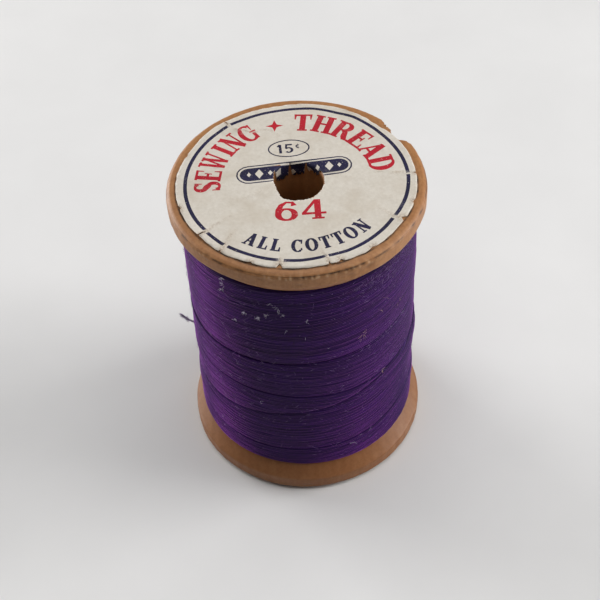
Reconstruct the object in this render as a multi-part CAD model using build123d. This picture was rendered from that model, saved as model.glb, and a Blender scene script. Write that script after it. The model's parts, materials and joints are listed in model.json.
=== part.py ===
from build123d import *
import math
import os

# Wooden spool of sewing thread. Millimetres, +Z up along the spool's axis,
# origin on that axis at the underside of the bottom label.

# Driving dimensions
HEIGHT = 40.6           # over both labels
FLANGE_R = 15.1         # 1 3/16 in flanges
BORE_R = 3.175          # 1/4 in drilled bore
BORE_CHAMFER = 0.25     # broken edge at each end of the bore
BARREL_R = 10.6         # turned barrel under the thread
LABEL_T = 0.1           # printed paper with its paste
LABEL_R = 13.97
LABEL_HOLE_R = 3.5
THREAD_D = 0.3          # three-ply sewing thread
PACKAGE_R = 13.8        # outside of the last even layer of thread
FIT_GAP = 0.04          # clearance between neighbouring solids

# Flange section, measured from the flange's outer face
EASE_R = 0.8            # radius of the eased outer edge
RIM_DEPTH = 2.15        # depth of the rim's inner edge
RIM_INNER_EASE = 0.2
CONE_SLOPE = 1.33       # rise of the flange's inner cone per mm of radius

# Derived sizes
WOOD_LOW = LABEL_T
WOOD_HIGH = HEIGHT - LABEL_T
FACE_R = FLANGE_R - EASE_R                  # where the flat face ends
RIM_EDGE = WOOD_LOW + RIM_DEPTH             # height of the bottom rim's inner edge
CONE_R = FLANGE_R - RIM_INNER_EASE          # radius at which the inner cone starts
CONE_EDGE = RIM_EDGE + RIM_INNER_EASE       # height at which it starts

# Chip split off the top flange along the grain, corner by corner in plan.
# The first seven corners are the broken face; the rest lie outside the rim.
CHIP_PLAN = [(10.25, 11.3), (11.6, 8.4), (11.6, 7.25), (12.0, 6.55), (12.4, 6.2), (12.8, 6.15), (13.4, 5.95),
             (16.5, 5.2), (17.5, 9.5), (12.5, 13.5)]
CHIP_HEIGHT = 8.0

# Torn paper tongues folded down into the bore: middle angle, width in degrees, depth
FLAPS = [(66, 26, 1.1), (97, 28, 1.9), (128, 24, 1.4)]
FLAP_CLEARANCE = 0.08

# Starting end of the thread, laid along the barrel under the first layer
START_LENGTH = 14.0
START_LOW = 12.0
START_ANGLE = 200.0

# Wraps that cross the even layer: start angle, start height, degrees turned, rise
CROSS_WRAPS = [(150, 22.1, 240, 3.7),
               (150, 18.2, 230, -0.2),
               (184, 11.4, 130, 6.3),
               (170, 6.5, 200, 3.5)]
CROSS_STEP = 10.0       # degrees between the corners of a wrap's path
CROSS_R = PACKAGE_R + 0.5 * THREAD_D + 0.12

# Loose end of the thread: it leaves the package at the back right, lies round the
# back just off the package, and springs clear at the left.
TAIL_ROUTE = [(11.57, 8.10, 5.85), (9.26, 11.22, 5.93), (6.25, 13.14, 6.07), (2.87, 14.27, 6.15),
              (-0.72, 14.53, 6.45), (-4.26, 13.90, 6.85), (-7.52, 12.46, 7.40), (-10.25, 10.34, 8.18),
              (-12.48, 7.74, 9.25), (-14.03, 5.10, 10.95), (-15.28, 3.66, 13.35), (-16.09, 3.03, 15.35)]
ARC_SHARE = 0.45        # share of the shorter run that each arc of a cord takes


def lathe(outline):
    """Revolve a closed (radius, height) outline about the spool's axis."""
    return revolve(Plane.XZ * make_face(outline), Axis.Z)


def cord_radii(points):
    """Radius of the arc at each inner corner of a cord's route."""
    radii = []
    for before, corner, after in zip(points, points[1:], points[2:]):
        run_in = Vector(*corner) - Vector(*before)
        run_out = Vector(*after) - Vector(*corner)
        half_turn = math.radians(run_in.get_angle(run_out)) / 2
        radii.append(ARC_SHARE * min(run_in.length, run_out.length) / math.tan(half_turn))
    return radii


def strand(points):
    """Round strand of thread along straight runs joined by tangent arcs."""
    radii = cord_radii(points)
    path = FilletPolyline(*points, radius=radii)
    section = Plane(origin=path @ 0, z_dir=path % 0) * Circle(THREAD_D / 2)
    solid = sweep(section, path=path)
    return solid, path, radii


def ring_point(radius, degrees, height):
    angle = math.radians(degrees)
    return (radius * math.cos(angle), radius * math.sin(angle), height)


def cone_height(radius):
    """Height of the bottom flange's inner cone; the top flange mirrors it."""
    return CONE_EDGE + CONE_SLOPE * (CONE_R - radius)


def spool_body():
    """Turned one-piece spool: two flanges with inner cones on a drilled barrel."""
    low, high = WOOD_LOW, WOOD_HIGH
    chamfer_r = BORE_R + BORE_CHAMFER
    barrel_low = cone_height(BARREL_R)
    ease = EASE_R * (1 - math.sqrt(0.5))
    outline = [
        Polyline((BORE_R, high - BORE_CHAMFER), (BORE_R, low + BORE_CHAMFER), (chamfer_r, low), (FACE_R, low)),
        ThreePointArc((FACE_R, low), (FLANGE_R - ease, low + ease), (FLANGE_R, low + EASE_R)),
        Polyline((FLANGE_R, low + EASE_R), (FLANGE_R, RIM_EDGE), (CONE_R, CONE_EDGE),
                 (BARREL_R, barrel_low), (BARREL_R, HEIGHT - barrel_low), (CONE_R, HEIGHT - CONE_EDGE),
                 (FLANGE_R, HEIGHT - RIM_EDGE), (FLANGE_R, high - EASE_R)),
        ThreePointArc((FLANGE_R, high - EASE_R), (FLANGE_R - ease, high - ease), (FACE_R, high)),
        Polyline((FACE_R, high), (chamfer_r, high), (BORE_R, high - BORE_CHAMFER)),
    ]
    chip = Pos(0, 0, HEIGHT + 1 - CHIP_HEIGHT) * extrude(make_face(Polyline(*CHIP_PLAN, close=True)), CHIP_HEIGHT)
    return lathe(outline) - chip


def label_disc(low):
    outline = Polyline((LABEL_HOLE_R, low), (LABEL_R, low), (LABEL_R, low + LABEL_T),
                       (LABEL_HOLE_R, low + LABEL_T), close=True)
    return lathe(outline)


def label_flap(middle, width, depth):
    """One torn tongue: flat beside the hole, then folded down the bore's wall."""
    outer = BORE_R - FLAP_CLEARANCE
    inner = outer - LABEL_T
    root = LABEL_HOLE_R + 0.3
    under = HEIGHT - LABEL_T
    outline = Polyline((inner, HEIGHT), (root, HEIGHT), (root, under), (BORE_R + BORE_CHAMFER, under),
                       (outer, under - BORE_CHAMFER), (outer, HEIGHT - depth), (inner, HEIGHT - depth), close=True)
    tongue = revolve(Plane.XZ * make_face(outline), Axis.Z, revolution_arc=width)
    return Rot(0, 0, middle - width / 2) * tongue


def top_label():
    label = label_disc(HEIGHT - LABEL_T)
    for middle, width, depth in FLAPS:
        label += label_flap(middle, width, depth)
    return label


def bottom_label():
    return label_disc(0)


def thread_ring(inner, outer):
    """Ring of wound thread between the flanges' inner cones."""
    low_inner = cone_height(inner) + 2 * FIT_GAP
    low_outer = cone_height(outer) + 2 * FIT_GAP
    outline = Polyline((inner, low_inner), (outer, low_outer),
                       (outer, HEIGHT - low_outer), (inner, HEIGHT - low_inner), close=True)
    return lathe(outline)


def start_strand(diameter):
    centre_r = BARREL_R + FIT_GAP + THREAD_D / 2
    x, y, _ = ring_point(centre_r, START_ANGLE, 0)
    return Pos(x, y, START_LOW + START_LENGTH / 2) * Cylinder(diameter / 2, START_LENGTH + diameter - THREAD_D)


def thread_start():
    return start_strand(THREAD_D)


def thread_inner_layers():
    """All the layers under the last one, closed over the starting end."""
    ring = thread_ring(BARREL_R + FIT_GAP, PACKAGE_R - THREAD_D - FIT_GAP)
    return ring - start_strand(THREAD_D + 2 * FIT_GAP)


def thread_outer_layer():
    return thread_ring(PACKAGE_R - THREAD_D, PACKAGE_R)


def thread_cross_wraps():
    """Wraps that jump across the even layer, each its own strand."""
    wraps = []
    for start, low, turned, rise in CROSS_WRAPS:
        count = round(turned / CROSS_STEP)
        points = []
        for i in range(count + 1):
            share = i / count
            ease = share + 0.05 * math.sin(2 * math.pi * share)
            points.append(ring_point(CROSS_R, start + turned * share, low + rise * ease))
        wraps.append(strand(points)[0])
    return Compound(children=wraps)


def thread_tail():
    solid, path, radii = strand(TAIL_ROUTE)
    section_area = math.pi * THREAD_D ** 2 / 4
    print("tail arcs, mm:", [round(radius, 2) for radius in radii])
    print("tail length, mm:", round(path.length, 2))
    print("tail volume against section times length:", round(solid.volume / (section_area * path.length), 4))
    return solid


PARTS = [spool_body, top_label, bottom_label, thread_start, thread_inner_layers,
         thread_outer_layer, thread_cross_wraps, thread_tail]

os.makedirs("parts", exist_ok=True)
for make in PARTS:
    export_step(make(), f"parts/{make.__name__}.step")
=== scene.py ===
import json
import math

import bmesh
import bpy
import numpy as np
from mathutils import Matrix, Vector
from mathutils.geometry import delaunay_2d_cdt


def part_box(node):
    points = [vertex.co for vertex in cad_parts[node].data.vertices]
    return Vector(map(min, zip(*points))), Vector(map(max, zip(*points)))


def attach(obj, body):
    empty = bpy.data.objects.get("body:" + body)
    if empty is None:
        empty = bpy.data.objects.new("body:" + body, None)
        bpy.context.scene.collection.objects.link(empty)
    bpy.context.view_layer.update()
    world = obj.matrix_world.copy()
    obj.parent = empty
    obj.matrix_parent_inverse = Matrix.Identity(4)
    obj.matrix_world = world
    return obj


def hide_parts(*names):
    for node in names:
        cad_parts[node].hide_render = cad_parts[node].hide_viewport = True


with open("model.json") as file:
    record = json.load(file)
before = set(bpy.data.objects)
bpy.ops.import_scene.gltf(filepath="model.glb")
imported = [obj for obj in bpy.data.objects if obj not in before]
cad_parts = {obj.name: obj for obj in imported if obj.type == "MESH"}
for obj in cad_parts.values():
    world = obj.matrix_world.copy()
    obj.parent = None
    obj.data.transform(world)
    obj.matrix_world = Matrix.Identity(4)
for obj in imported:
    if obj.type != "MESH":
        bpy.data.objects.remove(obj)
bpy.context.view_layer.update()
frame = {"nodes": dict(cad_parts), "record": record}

# A used wooden spool of purple sewing thread. Sizes are in millimetres and angles in
# degrees, counted from +X towards +Y, so that the front is at 270. Points turn into
# metres in in_metres().
MM = 0.001


def node_box(name):
    return [np.array(corner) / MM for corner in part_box(name)]


WOOD_LOW, WOOD_HIGH = (corner[2] for corner in node_box("spool_body"))
FLANGE_R = node_box("spool_body")[1][0]
LABEL_R, _, HEIGHT = node_box("top_label")[1]
PACKAGE_R = node_box("thread_outer_layer")[1][0]
INNER_WALL = 2.8             # thickness of the wound layers under the last one
BARREL_R = -node_box("thread_inner_layers")[0][0] - INNER_WALL
BORE_R = next(m for m in frame["record"]["mounts"] if m["name"] == "bore")["dims"]["r_mm"]
THREAD_D = 0.3


# ---------------------------------------------------------------- shared helpers

def in_metres(points):
    return np.asarray(points, float) * MM


def new_mesh(name, points, faces, materials, indices=None):
    """A smooth mesh object from points in millimetres."""
    mesh = bpy.data.meshes.new(name)
    mesh.from_pydata(in_metres(points).tolist(), [], faces)
    for finish in materials:
        mesh.materials.append(finish)
    if indices is not None:
        mesh.polygons.foreach_set("material_index", np.asarray(indices, np.int32))
    mesh.polygons.foreach_set("use_smooth", np.full(len(mesh.polygons), True))
    mesh.update()
    piece = bpy.data.objects.new(name, mesh)
    bpy.context.collection.objects.link(piece)
    return piece


def point_values(piece, name, values):
    """One number, or one vector, per point of a mesh, for its material to read."""
    values = np.asarray(values, np.float32)
    kind, key = ("FLOAT", "value") if values.ndim == 1 else ("FLOAT_VECTOR", "vector")
    piece.data.attributes.new(name, kind, "POINT").data.foreach_set(key, values.ravel())


class Shell:
    """Points, faces and strand values of one piece, gathered part by part."""

    def __init__(self):
        self.points, self.faces, self.strand = [], [], []

    def add(self, points, faces, strand=()):
        start = len(self.points)
        self.points.extend(points)
        self.faces.extend(tuple(start + i for i in face) for face in faces)
        self.strand.extend(strand)


def ring_rows(centres, first, second, radius, turns):
    """Points round each centre, at those turns from its first direction to its second."""
    cos, sin = np.cos(turns)[:, None], np.sin(turns)[:, None]
    return centres[:, None] + radius * (cos * first[:, None] + sin * second[:, None])


def tube_faces(rows, sides):
    """Faces of a closed tube of that many rows of points."""
    faces = []
    for i in range(rows - 1):
        for k in range(sides):
            a, b = i * sides + k, i * sides + (k + 1) % sides
            faces.append((a, b, b + sides, a + sides))
    return faces + [tuple(range(sides))[::-1], tuple(range((rows - 1) * sides, rows * sides))]


def unit(vectors, least=0.0):
    """Vectors of length one; least keeps a vector of no length from dividing by nothing."""
    return vectors / (np.linalg.norm(vectors, axis=1)[:, None] + least)


def polar(radius, degrees):
    angle = np.radians(degrees)
    return radius * np.cos(angle), radius * np.sin(angle)


def turned(points, degrees, centre):
    """Points turned round the origin, which then moves to the centre."""
    x, y = np.asarray(points, float).T
    cos, sin = math.cos(math.radians(degrees)), math.sin(math.radians(degrees))
    return np.column_stack([centre[0] + x * cos - y * sin, centre[1] + x * sin + y * cos])


def turn_from(at, degrees):
    """How far angles lie from one angle, the shorter way round."""
    return (degrees - at + 180) % 360 - 180


def arc_from(at, degrees, radius):
    """The same, in millimetres along a circle."""
    return turn_from(at, degrees) * radius * math.pi / 180


def smooth_step(low, high, value):
    t = np.clip((value - low) / (high - low), 0, 1)
    return t * t * (3 - 2 * t)


def sum_waves(seed, terms, draw):
    """Random waves of about unit size; draw gives one wave's phase everywhere."""
    rng = np.random.default_rng(seed)
    waves = (np.sin(draw(rng) + rng.uniform(0, math.tau)) for _ in range(terms))
    return sum(waves) / math.sqrt(terms / 2)


def ripple(seed, degrees, height, turns, waves=0, terms=24):
    """Waves on a round surface: up to turns whole waves round it and up to waves waves per
    millimetre up it."""
    angle = np.radians(degrees)
    return sum_waves(seed, terms, lambda rng: rng.integers(-turns, turns + 1) * angle
                     + rng.uniform(-waves, waves) * math.tau * height)


def flat_ripple(seed, x, y, shortest, longest):
    """Waves of those lengths on a flat surface."""
    def draw(rng):
        length = math.exp(rng.uniform(math.log(shortest), math.log(longest)))
        way = rng.uniform(0, math.tau)
        return math.tau * (x * math.cos(way) + y * math.sin(way)) / length
    return sum_waves(seed, 30, draw)


class Finish:
    """A node material, with a short call for each kind of node that it needs."""

    def __init__(self, name, **sockets):
        self.material = bpy.data.materials.new(name)
        self.material.use_nodes = True
        self.tree = self.material.node_tree
        self.shader = self.tree.nodes["Principled BSDF"]
        for socket, value in sockets.items():
            self.shader.inputs[socket.replace("_", " ")].default_value = value

    def add(self, kind, inputs, output=0, **settings):
        node = self.tree.nodes.new("ShaderNode" + kind)
        for key, value in settings.items():
            setattr(node, key, value)
        for key, value in inputs.items():
            if isinstance(value, bpy.types.NodeSocket):
                self.tree.links.new(value, node.inputs[key])
            else:
                node.inputs[key].default_value = value
        return node.outputs[output]

    def place(self):
        return self.add("TexCoord", {}, "Object")

    def field(self, name, output="Fac"):
        return self.add("Attribute", {}, output, attribute_name=name)

    def scaled(self, vector, scale):
        return self.add("Mapping", {"Vector": vector, "Scale": scale})

    def noise(self, vector, scale, detail, roughness=0.5, distortion=0.0):
        return self.add("TexNoise", {"Vector": vector, "Scale": scale, "Detail": detail,
                                     "Roughness": roughness, "Distortion": distortion})

    def sum(self, kind, a, b=0.0, c=0.0, clamp=False):
        return self.add("Math", {0: a, 1: b, 2: c}, operation=kind, use_clamp=clamp)

    def steps(self, factor, *stops):
        output = self.add("ValToRGB", {0: factor})
        ramp = output.node.color_ramp
        while len(ramp.elements) < len(stops):
            ramp.elements.new(0.5)
        for element, (position, colour) in zip(ramp.elements, stops):
            element.position, element.color = position, colour
        return output

    def span(self, value, low, high, to_low=0.0, to_high=1.0):
        return self.add("MapRange", {"Value": value, "From Min": low, "From Max": high,
                                     "To Min": to_low, "To Max": to_high})

    def mix(self, factor, a, b):
        return self.add("Mix", {0: factor, 6: a, 7: b}, 2, data_type="RGBA")

    def tint(self, base, colour, most, field, low, high):
        """As much as most of a colour over the base, where the field goes from low to high."""
        return self.mix(self.span(field, low, high, 0.0, most), base, colour)

    def done(self, colour, roughness=None, *bumps):
        """The material, with its colour, its roughness and its height fields in millimetres,
        each with its strength and laid one on the next."""
        normal = None
        for height, strength in bumps:
            inputs = {"Height": height, "Strength": strength, "Distance": MM}
            if normal is not None:
                inputs["Normal"] = normal
            normal = self.add("Bump", inputs)
        for socket, value in (("Base Color", colour), ("Roughness", roughness), ("Normal", normal)):
            if value is not None:
                self.tree.links.new(value, self.shader.inputs[socket])
        return self.material


def srgb(*numbers):
    """Linear colour from the 0 to 255 numbers of a colour picker."""
    return (*(v / 12.92 if v <= 0.04045 else ((v + 0.055) / 1.055) ** 2.4
              for v in (number / 255 for number in numbers)), 1.0)


# ---------------------------------------------------------------- stage and camera

CAMERA_ELEVATION = 47.425
CAMERA_DISTANCE = 164.33     # from the point it aims at
CAMERA_ROLL = 3.018          # the spool leans to the left in the frame
CAMERA_SHIFT = -0.00392, -0.00453
LENS = 77.88                 # on a 36 mm sensor
AIM_HEIGHT = 20.6            # on the spool's axis
FLOOR_HALF = 900
# Soft boxes: place, width and height, power
LIGHTS = {"overhead": ((0, 35, 450), (400, 400), 1.13),
          "right_high": ((360, 0, 340), (280, 280), 0.55),
          "right_low": ((398, 20, 120), (240, 190), 1.24),
          "left_low": ((-340, 240, 95), (240, 160), 1.7),
          "front": ((-60, -330, 330), (300, 260), 0.12)}
WORLD_STRENGTH = 0.01


def make_camera():
    data = bpy.data.cameras.new("camera")
    data.lens = LENS
    data.clip_start, data.clip_end = 0.005, 10
    data.shift_x, data.shift_y = CAMERA_SHIFT
    camera = bpy.data.objects.new("camera", data)
    bpy.context.collection.objects.link(camera)
    tilt, roll = math.radians(CAMERA_ELEVATION), math.radians(CAMERA_ROLL)
    back, right = Vector((0, -math.cos(tilt), math.sin(tilt))), Vector((1, 0, 0))
    up = back.cross(right)
    turned_up = up * math.cos(roll) + right * math.sin(roll)
    turned_right = right * math.cos(roll) - up * math.sin(roll)
    aim = Vector((0, 0, AIM_HEIGHT)) * MM
    camera.matrix_world = Matrix.Translation(aim + back * CAMERA_DISTANCE * MM) @ Matrix(
        (turned_right, turned_up, back)).transposed().to_4x4()
    bpy.context.scene.camera = camera


def make_stage():
    sheet = Finish("backdrop_paper", Roughness=0.9, Specular_IOR_Level=0.2)
    mottle = sheet.noise(sheet.place(), 60, 3)
    sheet.done(sheet.steps(mottle, (0.3, srgb(222, 221, 220)), (0.7, srgb(226, 225, 224))))
    corners = [(x * FLOOR_HALF, y * FLOOR_HALF, 0) for x, y in ((-1, -1), (1, -1), (1, 1), (-1, 1))]
    floor = new_mesh("floor", corners, [(0, 1, 2, 3)], [sheet.material])
    world = bpy.data.worlds.new("studio")
    world.use_nodes = True
    background = world.node_tree.nodes["Background"].inputs
    background["Color"].default_value = srgb(238, 240, 243)
    background["Strength"].default_value = WORLD_STRENGTH
    bpy.context.scene.world = world
    bpy.context.scene.view_settings.view_transform = "Standard"
    for name, (place, size, power) in LIGHTS.items():
        data = bpy.data.lights.new(name, "AREA")
        data.shape = "RECTANGLE"
        data.size, data.size_y = size[0] * MM, size[1] * MM
        data.energy = power
        light = bpy.data.objects.new(name, data)
        light.location = Vector(place) * MM
        light.rotation_mode = "QUATERNION"
        towards = Vector((0, 0, HEIGHT / 2)) * MM - light.location
        light.rotation_quaternion = towards.to_track_quat("-Z", "Y")
        bpy.context.collection.objects.link(light)


# ---------------------------------------------------------------- wooden spool

# Corners of the chip's broken face in plan, as the CAD model has them
CHIP_FACE = np.array([(10.25, 11.3), (11.6, 8.4), (11.6, 7.25), (12.0, 6.55), (12.4, 6.2),
                      (12.8, 6.15), (13.4, 5.95), (15.6, 5.4)])
CHIP_DEPTH = 8                          # the break ends this far under the label
CHIP_MIN_R = 13.3                       # and nowhere goes further in than this
BEVEL_FROM, BEVEL_TO = 34.0, 49.0       # where the break slopes gently from the top face
BEVEL_SLOPE = 0.42
RIM_LOW = 2.15                          # the rim's inner edge, from the flange's face
EDGE_CUT = 0.15                         # how much that edge is cut off
CONE_SLOPE = 1.33
GROOVE_DEPTH = 0.45                     # worn line round the rim, from the flange's face
KNOCK_DEPTH = 0.55                      # middle of the knocked band, likewise
DENTS = 70


def wood_finish():
    wood = Finish("turned_birch", Specular_IOR_Level=0.35, Coat_Weight=0.08, Coat_Roughness=0.35)
    place = wood.place()
    fibres = wood.noise(wood.scaled(place, (5200, 5200, 420)), 1, 5, 0.6)
    streaks = wood.noise(wood.scaled(place, (1100, 1100, 60)), 1, 3, 0.5, 0.4)
    rings = wood.add("TexWave", {"Vector": wood.scaled(place, (1, 0.45, 0.05)), "Scale": 260.0,
                                 "Distortion": 2.5, "Detail": 2.0, "Detail Scale": 1.5},
                     "Fac", bands_direction="X")
    blotch, mottle = wood.noise(place, 260, 3, 0.55), wood.noise(place, 2400, 3, 0.6)
    smudge = wood.noise(place, 1500, 4, 0.65)
    grain = wood.sum("MULTIPLY_ADD", fibres, 0.18, wood.sum("MULTIPLY_ADD", streaks, 0.32, 0.25))
    base = wood.steps(grain, (0.28, srgb(136, 88, 50)), (0.46, srgb(166, 115, 71)),
                      (0.7, srgb(186, 138, 92)))
    base = wood.tint(base, srgb(134, 86, 48), 0.15, rings, 0.2, 0.9)
    base = wood.tint(base, srgb(148, 96, 56), 0.35, blotch, 0.45, 0.75)
    base = wood.tint(base, srgb(136, 92, 54), 0.5, mottle, 0.42, 0.7)
    # painted shade from the tone attribute: down the bore, in the lower cone and over the lower flange
    base = wood.mix(wood.field("tone"), base, srgb(108, 58, 24))
    base = wood.mix(wood.field("scuff"), base, srgb(214, 184, 146))
    patchy = wood.span(smudge, 0.35, 0.6, 0.35, 1.0)
    # dark patches: real dirt, plus painted shadow under the paper's edge
    grime_and_shade = wood.sum("MULTIPLY", wood.field("dirt_and_shade"), patchy, clamp=True)
    return wood.done(wood.mix(grime_and_shade, base, srgb(52, 34, 22)), wood.span(grain, 0.3, 0.7, 0.62, 0.42),
                     (fibres, 0.025), (streaks, 0.025), (smudge, 0.02))


def cone_depth(radius):
    """Depth of a flange's inner cone under the flange's face."""
    return RIM_LOW + EDGE_CUT + CONE_SLOPE * (FLANGE_R - EDGE_CUT - radius)


def flange_outline():
    """Half the spool's section, from the middle of the bore's wall out over the flange to the
    middle of the barrel, as (radius, depth under the flange's face)."""
    half = (WOOD_HIGH - WOOD_LOW) / 2
    # radius, depth, and the step in which the run to the next corner is cut
    corners = [(BORE_R, half, 1.6), (BORE_R, 8, 0.3), (BORE_R, 0.25, 0.15), (BORE_R + 0.25, 0, 0.7),
               (LABEL_R - 0.9, 0, 0.05), (14.2, 0.02, 0.1), (14.62, 0.1, 0.08), (14.85, 0.24, 0.06),
               (14.97, 0.36, 0.04), (14.95, GROOVE_DEPTH, 0.05), (15.05, 0.52, 0.07),
               (FLANGE_R, 0.66, 0.11), (FLANGE_R, RIM_LOW - 0.2, 0.1), (FLANGE_R - 0.05, RIM_LOW, 0.08),
               (FLANGE_R - 0.2, RIM_LOW + EDGE_CUT, 0.14),
               (13.6, RIM_LOW + EDGE_CUT + CONE_SLOPE * 1.3, 1.0),
               (BARREL_R, cone_depth(BARREL_R), 1.6), (BARREL_R, half, 0)]
    out = []
    for (*start, step), (*end, _) in zip(corners, corners[1:]):
        start, way = np.array(start, float), np.subtract(end, start)
        count = max(1, round(np.linalg.norm(way) / step))
        out += [start + way * i / count for i in range(count)]
    return np.array(out)


def break_limit(degrees):
    """Radius at which the chip's broken face cuts the flange, at each angle."""
    limit = np.full(len(degrees), 99.0)
    corner_angles = np.degrees(np.arctan2(CHIP_FACE[:, 1], CHIP_FACE[:, 0]))
    x, y = polar(1.0, degrees)
    for a, b, high, low in zip(CHIP_FACE, CHIP_FACE[1:], corner_angles, corner_angles[1:]):
        edge = b - a
        cut = (a[0] * edge[1] - a[1] * edge[0]) / (x * edge[1] - y * edge[0])
        limit = np.where((low <= degrees) & (degrees <= high), np.minimum(limit, cut), limit)
    return limit


def make_spool(finish):
    half = flange_outline()
    section = np.vstack([half * [1, -1] + [0, WOOD_HIGH], (half + [0, WOOD_LOW])[::-1]])
    angles = np.unique(np.concatenate([np.arange(0, 360, 0.9), np.arange(18, 52, 0.25)]).round(3))
    radius, height = (np.repeat(column[:, None], len(angles), 1) for column in section.T)
    angle = np.repeat(angles[None, :], len(section), 0)
    upper = height > HEIGHT / 2
    outer = radius > LABEL_R - 0.2
    depth = np.where(upper, WOOD_HIGH - height, height - WOOD_LOW)

    # turned surface, with dirt in the groove round the rim
    shape = 0.018 * ripple(3, angle, height, 9, 0.15) + 0.010 * ripple(4, angle, height, 60, 0.6)
    radius = radius + np.where(outer, shape, 0)
    line = np.exp(-((depth - GROOVE_DEPTH) / 0.12) ** 2) * outer
    dirt_and_shade = 0.85 * line * smooth_step(-0.6, 0.9, ripple(5, angle, height, 40, 0.3)) * upper
    # the front left of the top rim is knocked dark and pale
    knocked = smooth_step(215, 228, angle) * smooth_step(318, 298, angle) * outer * upper
    knocked = knocked * np.exp(-((depth - KNOCK_DEPTH) / 0.26) ** 2)
    knocked = knocked * smooth_step(-1.3, 0.6, ripple(13, angle, height, 14, 0.2))
    flecks = ripple(12, angle, height, 170, 1.0, 70)
    dirt_and_shade += 0.45 * knocked * smooth_step(-0.3, 1.4, flecks)
    scuff = 0.6 * knocked * smooth_step(-0.3, -1.6, flecks)
    # painted shadow, with some grime, in a thin dark line on the wood where the paper ends
    shade_under_paper_edge = np.exp(-((radius - round_curve(PAPER_EDGE)(angle) - 0.06) / 0.1) ** 2)
    shade_under_paper_edge = shade_under_paper_edge * upper * (depth < 0.3) * (angle > 170)
    dirt_and_shade += shade_under_paper_edge * (1.4 + 0.6 * ripple(11, angle, height, 30, 0.2))
    rng = np.random.default_rng(8)
    for _ in range(DENTS):
        at, low = rng.uniform(0, 360), rng.uniform(0.2, RIM_LOW)
        size, deep = rng.uniform(0.12, 0.5), rng.uniform(0.02, 0.09)
        top_side = rng.random() < 0.6
        away = arc_from(at, angle, FLANGE_R)
        dent = np.exp(-((away / size) ** 2 + ((depth - low) / (0.6 * size)) ** 2))
        dent = dent * (upper == top_side) * outer
        radius = radius - deep * dent
        dirt_and_shade += 4.0 * deep * dent

    # the chip: nothing is left outside the broken face, and the break slopes off near one end
    torn = 0.05 * ripple(6, angle, height, 240, 0.12) + 0.02 * ripple(7, angle, height, 400, 0.8)
    limit = break_limit(angles)[None, :] + torn
    broken = upper & (radius > limit) & (height > HEIGHT - CHIP_DEPTH)
    radius = np.where(broken, np.maximum(limit, CHIP_MIN_R), radius)
    start_r = 13.75 + 1.0 * smooth_step(40, 49, angle)
    in_bevel = smooth_step(BEVEL_FROM - 1, BEVEL_FROM, angle) * (
        1 - smooth_step(BEVEL_TO - 4, BEVEL_TO, angle))
    fall = np.clip(radius - start_r, 0, 9) * BEVEL_SLOPE * in_bevel
    lowered = upper & (WOOD_HIGH - fall < height)
    rough = 0.03 * ripple(9, angle, radius, 200, 1.0) * (fall > 0)
    height = np.where(lowered, WOOD_HIGH - fall + rough, height)
    dirt_and_shade = np.where(broken | (lowered & (fall > 0.03)), 0.12, dirt_and_shade)

    points = np.stack([*polar(radius, angle), height], -1).reshape(-1, 3)
    index = np.arange(radius.size).reshape(radius.shape)
    down, right = np.roll(index, -1, 0), np.roll(index, -1, 1)
    faces = np.stack([index, right, np.roll(down, -1, 1), down], -1).reshape(-1, 4)
    piece = new_mesh("wooden_spool", points, faces.tolist(), [finish])
    # painted shade: the bore grows darker with depth, and the lower flange is darker all over and darker
    # still in its cone under the thread
    in_bore = section[:, :1] < BORE_R + 0.2
    inner_cone = smooth_step(FLANGE_R - 0.3, FLANGE_R - 2.0, radius)
    tone = np.where(in_bore, 0.12 + 0.5 * smooth_step(1, 9, np.minimum(depth, 12)), 0.0)
    tone = tone + np.where(~upper & ~in_bore, 0.5 + 0.2 * inner_cone, 0.0)
    for name, values in (("tone", tone), ("scuff", scuff), ("dirt_and_shade", np.clip(dirt_and_shade, 0, 1))):
        point_values(piece, name, values.ravel())
    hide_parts("spool_body")
    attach(piece, "root")


# ---------------------------------------------------------------- letters
# Each letter is drawn with pen strokes in a cell one unit high, feet at 0.
STEM, HAIR, SERIF = 0.24, 0.10, 0.09
TOP, LOW = 1 - HAIR / 2, HAIR / 2
ROUND = (0.43, 0.5), (0.32, 0.463)


def stroke(points, widths):
    """Four-sided pieces along a pen stroke whose width changes from point to point."""
    points = np.array(points, float)
    widths = np.broadcast_to(np.asarray(widths, float), (len(points),))
    way = np.gradient(points, axis=0)
    side = np.column_stack([-way[:, 1], way[:, 0]]) / np.hypot(way[:, 0], way[:, 1])[:, None]
    left, right = points + side * widths[:, None] / 2, points - side * widths[:, None] / 2
    return [np.array([right[i], right[i + 1], left[i + 1], left[i]]) for i in range(len(points) - 1)]


def bowl(centre, radii, start, end, thin=HAIR, thick=STEM, steps=16):
    """Curved stroke round part of an ellipse, thick at its sides and thin over the top."""
    angle = np.radians(np.linspace(start, end, steps + 1))
    points = np.column_stack([centre[0] + radii[0] * np.cos(angle), centre[1] + radii[1] * np.sin(angle)])
    return stroke(points, thin + (thick - thin) * np.abs(np.cos(angle)) ** 1.6)


def stem(x, low=0.0, high=1.0, width=STEM):
    return stroke([(x, low), (x, high)], width)


def arm(x0, x1, y, width=HAIR):
    return stroke([(x0, y), (x1, y)], width)


def foot(x, y, half=0.19):
    """Serif across a stem's end, at the foot (y 0) or at the head (y 1)."""
    return arm(x - half, x + half, y + (SERIF / 2 if y < 0.5 else -SERIF / 2), SERIF)


def beak(x, y0, y1):
    """Short upright end of an arm, wider at its tip."""
    return stem(x, y0, y1, [0.11, 0.05])


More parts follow.
